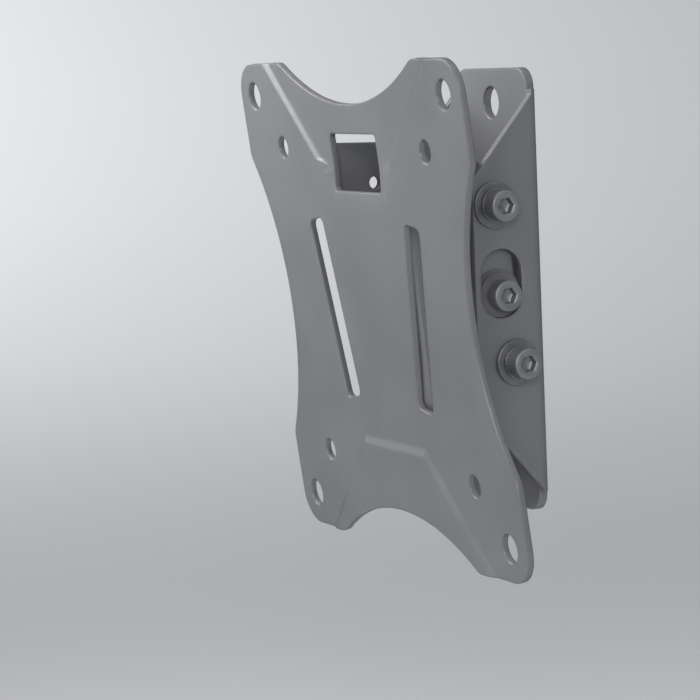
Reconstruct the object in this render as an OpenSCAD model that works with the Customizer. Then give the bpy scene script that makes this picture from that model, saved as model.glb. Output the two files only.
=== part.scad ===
// Tilting wall mount for a small screen. A pressed screen plate with the 75 mm and 100 mm hole squares
// is welded to a folded bracket. The bracket hangs between the two ears of a folded wall plate, turns on
// a pair of bushed pivot bolts and is held by four lock bolts in curved slots.
// X is to the right, Y goes into the wall and Z is up. The origin is the middle of the wall plate's back.
// Pieces of the tilting side are drawn in the plate's own frame: the front face is at y = 0, y goes
// into the wall and z is up along the plate. tilted() then turns them to their resting tilt.

/* [Tilt] */
// Forward lean of the screen plate at rest, in degrees
tilt_rest = 7; // [2:0.5:10]
// Smallest lean that the lock slots allow, in degrees
tilt_min = 0; // [0:0.5:2]
// Largest lean that the lock slots allow, in degrees
tilt_max = 12; // [10:0.5:12]
// Distance from the wall to the pivot axis
pivot_out = 11.4; // [11.2:0.1:16]
// Distance from the screen plate's front face to the pivot axis
pivot_back = 23.2; // [21:0.1:30]

/* [Screen plate] */
// Width and height of the screen plate
plate_size = 115.6; // [113:0.2:124]
// Sheet thickness of the screen plate
plate_t = 1.5; // [1.2:0.1:2]
// Radius of the plate's four outer corners
corner_r = 7.7; // [5:0.1:9]
// How far the two side edges curve inwards
side_waist = 10.8; // [6:0.2:12]
// How far the top and bottom edges curve inwards
end_waist = 10; // [6:0.2:12]
// Half the length of each curved edge
waist_half = 35; // [30:0.5:37]
// Radius where a curved edge meets a straight one
waist_blend = 5; // [1:0.5:8]
// Side of the larger hole square
outer_square = 100; // [99:0.5:101]
// Side of the smaller hole square
inner_square = 75; // [74:0.5:76]
// Diameter of the holes of the larger square
outer_hole_d = 6.8; // [5:0.1:7.5]
// Diameter of the holes of the smaller square
inner_hole_d = 5.4; // [4.5:0.1:6.5]

/* [Openings and pressings] */
// Width of the window
window_w = 24; // [16:0.5:26]
// Height of the window
window_h = 13.5; // [8:0.5:15]
// Height of the window's middle above the plate's middle
window_z = 34.2; // [32:0.1:36]
// Width of the two slanted slots
slot_w = 7.5; // [5:0.1:8]
// Length of the two slanted slots
slot_len = 43.5; // [30:0.5:46]
// Lean of the slanted slots, in degrees
slot_lean = 8.9; // [0:0.1:12]
// Distance from the plate's middle line to a slot's middle
slot_x = 22; // [21:0.1:26]
// Depth of the pressed panels
press_depth = 0.8; // [0.3:0.1:1.2]
// Width of the soft crease round a pressed panel
crease_w = 2.4; // [1.2:0.1:3]
// Half width of the sunk top panel at its lower end
top_panel_x = 20.6; // [19:0.1:24]
// Height of the sunk top panel's lower end above the plate's middle
top_panel_z = 35; // [33:0.5:38]
// Half width of the raised bottom panel at its upper end
bottom_panel_x = 16; // [12:0.5:20]
// Depth of the raised bottom panel's upper end below the plate's middle
bottom_panel_z = 31.2; // [31:0.1:36]

/* [Tilt bracket] */
// Outer width of the folded bracket
bracket_w = 34; // [32:0.2:35]
// Sheet thickness of the bracket and the wall plate
fold_t = 2; // [1.5:0.1:2.2]
// Inner radius of the folds
fold_r = 1; // [0.5:0.1:1.5]
// Height of the bracket's web above the plate's middle
web_top = 24; // [20:0.5:25]
// Depth of the bracket's web below the plate's middle
web_bottom = 30; // [24:0.5:30]
// Height of the flanges' front corners above the plate's middle
flange_top = 38.4; // [36:0.1:39]
// Fall of the flanges' top edges towards the wall, in degrees
flange_fall = 9; // [0:0.5:12]
// Height of the upper lock bolts above the pivot
lock_top = 20.7; // [18:0.1:22]
// Depth of the lower lock bolts below the pivot
lock_bottom = 15.9; // [14:0.1:17]
// Distance of the lock bolts behind the pivot
lock_behind = 1.2; // [0:0.1:1.3]
// Width of metal from a lock bolt's middle to the flange's back edge
eye_r = 4.2; // [3.5:0.1:4.2]
// Diameter of the small hole in each flange beside the window
flange_hole_d = 3; // [2:0.1:4]

/* [Wall plate] */
// Height of the wall plate
wall_h = 103; // [101:0.5:120]
// Radius of the wall plate's corners
wall_corner_r = 4.5; // [2:0.1:8]
// Distance between the two wall screw holes
wall_hole_spacing = 87; // [80:0.5:92]
// Diameter of the wall screw holes
wall_hole_d = 7.5; // [5:0.1:9]
// How far the wall plate's side edges stand back from the ears' outer faces
side_step = 2.5; // [1:0.1:2.8]
// Length of the ears where they leave the wall plate
ear_root = 91; // [76:0.5:93]
// Length of the ears' front edges
ear_front = 53; // [46:0.5:60]
// How far the ears stand out past the pivot axis
ear_past_pivot = 6.7; // [6:0.1:9]
// Height of the pivot opening above its round seat
opening_rise = 5.4; // [3:0.1:6]

/* [Bolts] */
// Diameter of the bolts
bolt_d = 4; // [3:0.1:4]
// Diameter of the bolt heads
head_d = 7.2; // [6:0.1:7.4]
// Height of the bolt heads
head_h = 4; // [3:0.1:5]
// Width of the hexagon socket in a bolt head
socket_w = 3.2; // [2:0.1:3.5]
// Diameter of the plain washers
washer_d = 10.8; // [9.5:0.1:11]
// Thickness of the plain washers
washer_t = 1; // [0.6:0.1:1.5]
// Diameter of the spring washers
spring_washer_d = 7.8; // [7.5:0.1:8.5]
// Thickness of the spring washers
spring_washer_t = 0.9; // [0.6:0.1:1.2]
// Width of the nuts across their flats
nut_w = 7; // [6.5:0.1:7.5]
// Height of the nuts
nut_h = 5; // [3:0.1:6]
// Diameter of the pivot bushes
bush_d = 10.3; // [9:0.1:11]
// Diameter of the spacer discs between the flanges and the ears
spacer_d = 8; // [6:0.1:8.4]

/* [Clearances] */
// Gap between a flange and an ear, filled by spacers
side_play = 0.5; // [0.3:0.05:0.8]
// Gap beside each sliding face
slide_gap = 0.05; // [0.03:0.01:0.1]
// Radial gap of a bush in its opening
bush_gap = 0.1; // [0.05:0.01:0.2]
// Radial gap of a bolt in its hole or slot
bolt_gap = 0.2; // [0.1:0.05:0.3]
// Radial gap between a bolt and its nut
thread_gap = 0.05; // [0.03:0.01:0.1]

/* [Hidden] */
$fn = 48;

// Half sizes and places that follow from the sizes above
plate_half = plate_size / 2;
bracket_half = bracket_w / 2;
ear_inner = bracket_half + side_play;
ear_outer = ear_inner + fold_t;
ear_reach = pivot_out + ear_past_pivot;
opening_d = bush_d + 2 * bush_gap;
hole_d = bolt_d + 2 * bolt_gap;
nut_bore_d = bolt_d + 2 * thread_gap;
press_past = 8;
press_far = plate_half + press_past;
window_r = 1;
slot_r = 1.8;
slot_z = -1;
ramp_len = 11;
ramp_start = 0.5;
ramp_narrowing = 6.3;
ramp_fan = 4;
// Directions in which the ramp's outlines leave a crease's end, in degrees below level: the outer, the inner
fan_steep = 85;
fan_flat = 5;
// Place of the hole in each flange, back from its front edge and down from its top
flange_hole_back = 9.5;
flange_hole_down = 11.1;
// A crease in steps: the share of its width that is crossed, and the share of the depth that is reached
crease_form = [[-0.2, -0.1], [0.2, 0.1], [0.8, 0.9], [1, 1]];
// Longer than any sheet is thick, for cutters that pass through one
through = 10;
// Slots are this much narrower than their round ends, so that the two cross and don't just touch
end_step = 0.01;

// Bolt stacks, measured along X from the middle of the mount
washer_x = ear_outer + slide_gap;
spring_washer_x = washer_x + washer_t;
lock_head_x = spring_washer_x + spring_washer_t;
bush_x = ear_outer - 0.6;
nut_face_x = bracket_half - fold_t;
bolt_end_x = nut_face_x - nut_h - 0.8;

steel_paint = [0.49, 0.49, 0.51];
zinc = [0.62, 0.62, 0.63];
dark_zinc = [0.3, 0.3, 0.31];
nylon = [0.16, 0.16, 0.17];

// Points of an arc round c, from angle a to angle b
function arc(c, r, a, b, n) = [for (i = [0:n]) c + r * [cos(a + (b - a) * i / n), sin(a + (b - a) * i / n)]];

function unit(v) = v / norm(v);

function turn(a, b) = b - a > 180 ? b - a - 360 : b - a < -180 ? b - a + 360 : b - a;

// One corner [x, y, r] of an outline, as the arc of radius r that rounds it
function rounded_corner(p, before, after, n) =
    let (
        o = [p[0], p[1]],
        u = unit([before[0], before[1]] - o),
        v = unit([after[0], after[1]] - o),
        half = acos(u * v) / 2,
        c = o + unit(u + v) * p[2] / sin(half),
        s = o + u * p[2] / tan(half) - c,
        e = o + v * p[2] / tan(half) - c,
        a = atan2(s[1], s[0])
    )
    p[2] <= 0 ? [o] : arc(c, p[2], a, a + turn(a, atan2(e[1], e[0])), n);

// An outline of corners [x, y, r], each with its own radius
function rounded(corners, n = 6) =
    let (k = len(corners))
    [for (i = [0:k - 1]) each rounded_corner(corners[i], corners[(i + k - 1) % k], corners[(i + 1) % k], n)];

function rounded_box(w, h, r) = rounded([[-w / 2, -h / 2, r], [w / 2, -h / 2, r], [w / 2, h / 2, r], [-w / 2, h / 2, r]]);

function flipped(points, sx, sy) = [for (p = points) [sx * p[0], sy * p[1]]];

// All points but the first and the last, in reverse order
function inner_backwards(points) = [for (i = [len(points) - 2:-1:1]) points[i]];

// Radius of the arc that curves in by depth over a chord of twice half_chord
function waist_radius(half_chord, depth) = (half_chord * half_chord + depth * depth) / (2 * depth);

// Half of one curved edge and the blend at its end, for an edge that would be straight at x = plate_half
function waist_edge(depth) =
    let (
        r = waist_radius(waist_half, depth),
        across = r - depth + waist_blend,
        up = sqrt((r + waist_blend) * (r + waist_blend) - across * across),
        swing = atan2(up, across)
    )
    concat(
        arc([plate_half - depth + r, 0], r, 180, 180 - swing, 14),
        [for (p = arc([plate_half - waist_blend, up], waist_blend, -swing, 0, 5)) if (p[1] > r * sin(swing) + 0.01) p]
    );

// The upper right quarter of the plate's outline, from the middle of the side to the middle of the top
end_edge = waist_edge(end_waist);
quarter = concat(
    waist_edge(side_waist),
    arc([plate_half - corner_r, plate_half - corner_r], corner_r, 0, 90, 12),
    [for (i = [len(end_edge) - 1:-1:0]) [end_edge[i][1], end_edge[i][0]]]
);
plate_outline = concat(
    quarter,
    flipped(inner_backwards(quarter), -1, 1),
    flipped(quarter, -1, -1),
    flipped(inner_backwards(quarter), 1, -1)
);

// Side view of a flange in the plate's frame, as [y, z, radius] corners
lock_y = pivot_back + lock_behind;
flange_back = lock_y + eye_r;
horn_front = plate_t + press_depth + 0.3;
flange_side = rounded([
    [plate_t, -web_bottom, 2],
    [plate_t + 5, -web_bottom, 4],
    [lock_y - 2, -lock_bottom - eye_r - 1, 4],
    [flange_back - 0.6, -lock_bottom - eye_r + 0.6, 3.5],
    [flange_back, lock_top + 3, 5],
    [pivot_back - 4, flange_top - (pivot_back - 4 - horn_front) * tan(flange_fall), 4],
    [horn_front, flange_top, 1],
    [horn_front, web_top, 0],
    [plate_t, web_top, 0]
]);

// Side view of an ear, as [y, z, radius] corners measured from the wall
ear_side = rounded([
    [1, -ear_root / 2 - 1, 0],
    [-fold_t, -ear_root / 2 - 1, 0],
    [-fold_t, -ear_root / 2, 0],
    [-ear_reach, -ear_front / 2, 4],
    [-ear_reach, ear_front / 2, 4],
    [-fold_t, ear_root / 2, 0],
    [-fold_t, ear_root / 2 + 1, 0],
    [1, ear_root / 2 + 1, 0]
]);

// Turns children from the plate's frame to their place at rest
module tilted() {
    translate([0, -pivot_out, 0])
        rotate([tilt_rest, 0, 0])
            translate([0, -pivot_back, 0])
                children();
}

// Mirrors children to the left where side is -1
module on_side(side) {
    mirror([side < 0 ? 1 : 0, 0, 0])
        children();
}

// Extrudes an X-Z outline from y = y0 to y = y1
module front_prism(y0, y1) {
    translate([0, y1, 0])
        rotate([90, 0, 0])
            linear_extrude(y1 - y0)
                children();
}

// Extrudes a Y-Z outline from x = x0 to x = x1, and turns a Z axis to X
module side_prism(x0, x1) {
    translate([x0, 0, 0])
        rotate([90, 0, 90])
            linear_extrude(x1 - x0)
                children();
}

module along_x(x, y, z) {
    translate([x, y, z])
        rotate([90, 0, 90])
            children();
}

// A round hole through a sheet that lies across Y
module front_hole(x, z, d) {
    translate([x, -through, z])
        rotate([-90, 0, 0])
            cylinder(h = 2 * through, d = d);
}

// A square of four holes with side s
module hole_square(s, d) {
    for (x = [-s / 2, s / 2], z = [-s / 2, s / 2])
        front_hole(x, z, d);
}

// Cross-section of a folded channel of outer width w and depth d, with its web at y = 0
module channel_section(w, d) {
    outer_r = fold_r + fold_t;
    difference() {
        polygon(rounded([[-w / 2, 0, outer_r], [w / 2, 0, outer_r], [w / 2, d, 0], [-w / 2, d, 0]], 8));
        translate([0, fold_t])
            polygon(rounded([
                [-w / 2 + fold_t, 0, fold_r],
                [w / 2 - fold_t, 0, fold_r],
                [w / 2 - fold_t, d, 0],
                [-w / 2 + fold_t, d, 0]
            ], 8));
    }
}

// One outline of the sunk top panel, inside its border by a share of the crease: flat over the top edge,
// creased at its sides, with a long ramp below that fans out from the lower ends of the creases
function top_panel(share) =
    let (
        inset = share * crease_w * sqrt(2),
        x = top_panel_x - inset,
        far_x = x + press_far - top_panel_z,
        fan_turn = fan_steep + (fan_flat - fan_steep) * share,
        fan_x = x - ramp_fan * cos(fan_turn),
        fan_z = top_panel_z - ramp_fan * sin(fan_turn),
        low_x = x - ramp_narrowing,
        low_z = top_panel_z - ramp_start - ramp_len * (1 - share)
    )
    [
        [-low_x, low_z],
        [low_x, low_z],
        [fan_x, fan_z],
        [x, top_panel_z],
        [far_x, press_far],
        [-far_x, press_far],
        [-x, top_panel_z],
        [-fan_x, fan_z]
    ];

// One outline of the raised bottom panel, inside its border by a share of the crease
function bottom_panel(share) =
    let (
        inset = share * crease_w,
        z = bottom_panel_z + inset,
        x = bottom_panel_x + inset - inset * sqrt(2),
        far_x = bottom_panel_x + press_far - bottom_panel_z - inset * sqrt(2)
    )
    [[-far_x, -press_far], [far_x, -press_far], [x, -z], [-x, -z]];

// The form of a panel pressed towards +y: its outlines, one for each step of the crease, joined
module pressing(outlines) {
    n = len(outlines[0]);
    last = (len(outlines) - 1) * n;
    polyhedron(
        points = [
            for (i = [0:len(outlines) - 1], p = outlines[i]) [p[0], crease_form[i][1] * press_depth, p[1]]
        ],
        faces = concat(
            [[for (j = [n - 1:-1:0]) j], [for (j = [0:n - 1]) last + j]],
            [for (i = [0:n:last - n], j = [0:n - 1]) [i + j, i + (j + 1) % n, i + (j + 1) % n + n]],
            [for (i = [0:n:last - n], j = [0:n - 1]) [i + j, i + (j + 1) % n + n, i + j + n]]
        )
    );
}

module top_pressing() {
    pressing([for (step = crease_form) top_panel(step[0])]);
}

// The bottom panel is pressed the other way, towards the screen
module bottom_pressing() {
    mirror([0, 1, 0])
        pressing([for (step = crease_form) bottom_panel(step[0])]);
}

// The pressed sheet before its outline and holes are cut
module pressed_sheet() {
    difference() {
        union() {
            translate([-plate_size, 0, -plate_size])
                cube([2 * plate_size, plate_t, 2 * plate_size]);
            translate([0, plate_t, 0])
                top_pressing();
            bottom_pressing();
        }
        top_pressing();
        translate([0, plate_t, 0])
            bottom_pressing();
    }
}

module vesa_plate() {
    color(steel_paint)
        tilted()
            difference() {
                intersection() {
                    pressed_sheet();
                    front_prism(-3, plate_t + 3)
                        polygon(plate_outline);
                }
                hole_square(outer_square, outer_hole_d);
                hole_square(inner_square, inner_hole_d);
                front_prism(-3, plate_t + 3)
                    translate([0, window_z])
                        polygon(rounded_box(window_w, window_h, window_r));
                for (side = [-1, 1])
                    front_prism(-3, plate_t + 3)
                        translate([side * slot_x, slot_z])
                            rotate(-side * slot_lean)
                                polygon(rounded_box(slot_w, slot_len, slot_r));
            }
}

module tilt_bracket() {
    web_cut = flange_top - web_top + 1;
    color(steel_paint)
        tilted()
            difference() {
                intersection() {
                    translate([0, plate_t, -web_bottom])
                        linear_extrude(web_bottom + flange_top)
                            channel_section(bracket_w, flange_back);
                    side_prism(-bracket_w, bracket_w)
                        polygon(flange_side);
                }
                translate([-nut_face_x, 0, web_top])
                    cube([2 * nut_face_x, plate_t + fold_t + fold_r + 0.5, web_cut]);
                for (p = [[pivot_back, 0], [lock_y, lock_top], [lock_y, -lock_bottom]])
                    along_x(-bracket_w, p[0], p[1])
                        cylinder(h = 2 * bracket_w, d = hole_d);
                along_x(-bracket_w, horn_front + flange_hole_back, flange_top - flange_hole_down)
                    cylinder(h = 2 * bracket_w, d = flange_hole_d);
                side_prism(-bracket_w, bracket_w)
                    translate([horn_front, flange_top - 2.1])
                        polygon(rounded_box(2.4, 2.6, 0.9));
            }
}

// The curved slot of one lock bolt, centred on the pivot, for a bolt at [y, z] from it in the plate's frame
module lock_slot(y, z) {
    r = norm([y, z]);
    start = atan2(z, y) + tilt_min;
    sweep = tilt_max - tilt_min;
    along_x(-ear_outer - 1, -pivot_out, 0) {
        rotate([0, 0, start])
            rotate_extrude(angle = sweep)
                translate([r - hole_d / 2 + end_step, 0])
                    square([hole_d - 2 * end_step, 2 * ear_outer + 2]);
        for (a = [start, start + sweep])
            rotate([0, 0, a])
                translate([r, 0, 0])
                    cylinder(h = 2 * ear_outer + 2, d = hole_d);
    }
}

// The pivot opening: a round seat for the bush at its lower end, and room above to drop the bush in
module pivot_opening() {
    along_x(-ear_outer - 1, -pivot_out, 0) {
        cylinder(h = 2 * ear_outer + 2, d = opening_d);
        translate([0, opening_rise, 0])
            cylinder(h = 2 * ear_outer + 2, d = opening_d);
        translate([-opening_d / 2 + end_step, 0, 0])
            cube([opening_d - 2 * end_step, opening_rise, 2 * ear_outer + 2]);
    }
}

// Outline of the wall plate's flat: full width past the ears, narrower where the ears fold out of it
function wall_outline() =
    let (
        w = ear_outer - side_step,
        n = ear_outer - fold_t - fold_r - 1,
        e = ear_root / 2,
        h = wall_h / 2,
        r = wall_corner_r,
        right = [[w, -h, r], [w, -e, 0], [n, -e, 0], [n, e, 0], [w, e, 0], [w, h, r]]
    )
    rounded(concat(right, [for (i = [len(right) - 1:-1:0]) [-right[i][0], right[i][1], right[i][2]]]));

module wall_plate() {
    color(steel_paint)
        difference() {
            union() {
                front_prism(-fold_t, 0)
                    polygon(wall_outline());
                intersection() {
                    translate([0, 0, -ear_root / 2 - 1])
                        linear_extrude(ear_root + 2)
                            mirror([0, 1])
                                channel_section(2 * ear_outer, ear_reach + 1);
                    side_prism(-ear_outer - 1, ear_outer + 1)
                        polygon(ear_side);
                }
            }
            for (z = [-wall_hole_spacing / 2, wall_hole_spacing / 2])
                front_hole(0, z, wall_hole_d);
            pivot_opening();
            lock_slot(lock_behind, lock_top);
            lock_slot(lock_behind, -lock_bottom);
        }
}

// A socket-head bolt along X on the right: the head stands on x = seat and the shank ends at bolt_end_x
module bolt(seat, y, z) {
    edge = 0.4;
    color(dark_zinc)
        tilted()
            difference() {
                along_x(seat, y, z)
                    rotate_extrude()
                        polygon([
                            [0, bolt_end_x - seat],
                            [bolt_d / 2 - edge, bolt_end_x - seat],
                            [bolt_d / 2, bolt_end_x - seat + edge],
                            [bolt_d / 2, 0],
                            [head_d / 2, 0],
                            [head_d / 2, head_h - edge],
                            [head_d / 2 - edge, head_h],
                            [0, head_h]
                        ]);
                along_x(seat + head_h - 2.2, y, z)
                    cylinder(h = 3, d = socket_w / cos(30), $fn = 6);
            }
}

// A flat ring along X on the right, from x to x + t
module ring(x, t, d, bore, y, z) {
    along_x(x, y, z)
        difference() {
            cylinder(h = t, d = d);
            translate([0, 0, -1])
                cylinder(h = t + 2, d = bore);
        }
}

// A split ring: the cut leans, as on a coiled washer
module spring_washer(y, z) {
    split_w = 0.7;
    color(zinc)
        tilted()
            difference() {
                ring(spring_washer_x, spring_washer_t, spring_washer_d, hole_d, y, z);
                along_x(spring_washer_x - 1, y, z)
                    rotate([0, 0, 60])
                        translate([bolt_d / 2 - 0.5, -split_w / 2, 0])
                            cube([spring_washer_d, split_w, spring_washer_t + 2]);
            }
}

// A lock nut on the inner side of a flange: a hexagon with a round collar at its inner end
module nut(y, z) {
    collar_h = 1.2;
    color(zinc)
        tilted()
            along_x(nut_face_x - nut_h, y, z)
                difference() {
                    union() {
                        cylinder(h = collar_h, d = nut_w - 0.6);
                        translate([0, 0, collar_h])
                            cylinder(h = nut_h - collar_h, d = nut_w / cos(30), $fn = 6);
                    }
                    translate([0, 0, -1])
                        cylinder(h = nut_h + 2, d = nut_bore_d);
                }
}

// A stepped bush: its thin collar fills the play beside the ear, and its barrel turns in the pivot opening
module pivot_bush(side) {
    collar_d = bush_d + 1.6;
    color(nylon)
        on_side(side)
            tilted()
                along_x(bracket_half, pivot_back, 0)
                    difference() {
                        union() {
                            cylinder(h = bush_x - bracket_half, d = bush_d);
                            cylinder(h = side_play - slide_gap, d = collar_d);
                        }
                        translate([0, 0, -1])
                            cylinder(h = fold_t + side_play + 2, d = hole_d);
                    }
}

module pivot_bolt(side) {
    on_side(side)
        bolt(bush_x, pivot_back, 0);
}

module pivot_nut(side) {
    on_side(side)
        nut(pivot_back, 0);
}

module lock_bolt(side, z) {
    on_side(side)
        bolt(lock_head_x, lock_y, z);
}

module lock_spring_washer(side, z) {
    on_side(side)
        spring_washer(lock_y, z);
}

module lock_washer(side, z) {
    color(zinc)
        on_side(side)
            tilted()
                ring(washer_x, washer_t, washer_d, hole_d, lock_y, z);
}

module lock_spacer(side, z) {
    color(nylon)
        on_side(side)
            tilted()
                ring(bracket_half, side_play - slide_gap, spacer_d, hole_d, lock_y, z);
}

module lock_nut(side, z) {
    on_side(side)
        nut(lock_y, z);
}

vesa_plate();
tilt_bracket();
wall_plate();
pivot_bush(-1);  // pivot_bush_left
pivot_bush(1);  // pivot_bush_right
pivot_bolt(-1);  // pivot_bolt_left
pivot_bolt(1);  // pivot_bolt_right
pivot_nut(-1);  // pivot_nut_left
pivot_nut(1);  // pivot_nut_right
lock_bolt(-1, lock_top);  // top_lock_bolt_left
lock_bolt(1, lock_top);  // top_lock_bolt_right
lock_bolt(-1, -lock_bottom);  // bottom_lock_bolt_left
lock_bolt(1, -lock_bottom);  // bottom_lock_bolt_right
lock_spring_washer(-1, lock_top);  // top_spring_washer_left
lock_spring_washer(1, lock_top);  // top_spring_washer_right
lock_spring_washer(-1, -lock_bottom);  // bottom_spring_washer_left
lock_spring_washer(1, -lock_bottom);  // bottom_spring_washer_right
lock_washer(-1, lock_top);  // top_washer_left
lock_washer(1, lock_top);  // top_washer_right
lock_washer(-1, -lock_bottom);  // bottom_washer_left
lock_washer(1, -lock_bottom);  // bottom_washer_right
lock_spacer(-1, lock_top);  // top_spacer_left
lock_spacer(1, lock_top);  // top_spacer_right
lock_spacer(-1, -lock_bottom);  // bottom_spacer_left
lock_spacer(1, -lock_bottom);  // bottom_spacer_right
lock_nut(-1, lock_top);  // top_lock_nut_left
lock_nut(1, lock_top);  // top_lock_nut_right
lock_nut(-1, -lock_bottom);  // bottom_lock_nut_left
lock_nut(1, -lock_bottom);  // bottom_lock_nut_right
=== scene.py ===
"""Looks of the tilting wall mount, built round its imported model.

The folded and pressed sheets, washers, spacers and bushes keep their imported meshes. They get
softened edges and their finishes here. Bolts and lock nuts are made again with their knurls,
sockets, threads and chamfers, and the bracket gets the weld seams that hold it to the pressed
plate.

Sizes are in millimetres in pieces and finishes, and in metres in node groups, lights and camera.
A place on the tilting side is given in the pressed plate's own frame: x to the right, y into the
wall from the plate's front face, z up the plate.
"""

import logging
import math
from dataclasses import dataclass, field
from enum import Enum
from typing import Callable, ClassVar, Iterator, Sequence

import bpy
from mathutils import Matrix, Vector


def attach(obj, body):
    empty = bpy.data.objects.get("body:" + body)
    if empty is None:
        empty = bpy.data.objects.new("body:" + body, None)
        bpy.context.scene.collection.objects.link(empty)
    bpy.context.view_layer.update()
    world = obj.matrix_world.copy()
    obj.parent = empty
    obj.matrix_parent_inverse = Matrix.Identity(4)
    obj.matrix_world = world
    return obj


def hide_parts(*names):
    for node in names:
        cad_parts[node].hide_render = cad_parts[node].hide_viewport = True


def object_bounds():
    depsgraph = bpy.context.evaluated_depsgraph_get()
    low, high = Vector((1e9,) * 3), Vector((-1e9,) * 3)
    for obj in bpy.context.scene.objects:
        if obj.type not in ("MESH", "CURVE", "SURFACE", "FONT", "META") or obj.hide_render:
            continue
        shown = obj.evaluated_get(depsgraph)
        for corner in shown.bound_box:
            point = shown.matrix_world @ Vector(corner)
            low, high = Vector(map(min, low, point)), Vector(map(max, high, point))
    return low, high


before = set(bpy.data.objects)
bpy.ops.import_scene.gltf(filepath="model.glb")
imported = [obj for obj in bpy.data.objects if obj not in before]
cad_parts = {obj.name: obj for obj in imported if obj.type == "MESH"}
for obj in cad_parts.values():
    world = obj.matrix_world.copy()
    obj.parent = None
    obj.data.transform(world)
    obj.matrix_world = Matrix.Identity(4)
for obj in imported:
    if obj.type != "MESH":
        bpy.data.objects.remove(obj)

log = logging.getLogger("wall_mount")
MM = 0.001
CAD_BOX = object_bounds()
SEAM_GAP = 0.002
FOLD_ANGLE = 40.0
Colour = tuple[float, float, float]
Point = tuple[float, float, float]
Pair = tuple[float, float]
Socket = bpy.types.NodeSocket
Feed = Socket | float | Colour
Piece = bpy.types.Object
Pieces = Iterator[Piece]
Radius = Callable[[float], float]
Rows = list[tuple[float, Radius]]
Outline = tuple[Pair, ...]


class Slot(Enum):
    """The record's material slots."""

    PAINT = "steel_paint"
    ZINC = "zinc_steel"
    BOLT = "bolt_steel"
    NYLON = "nylon"


class Body(Enum):
    """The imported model's bodies that new pieces ride on."""

    TILTING = "screen_side"


class Side(Enum):
    """The two sides of the mount, as the sign of X."""

    LEFT = -1
    RIGHT = 1

    @property
    def word(self) -> str:
        """The side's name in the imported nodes."""
        return self.name.lower()


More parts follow.
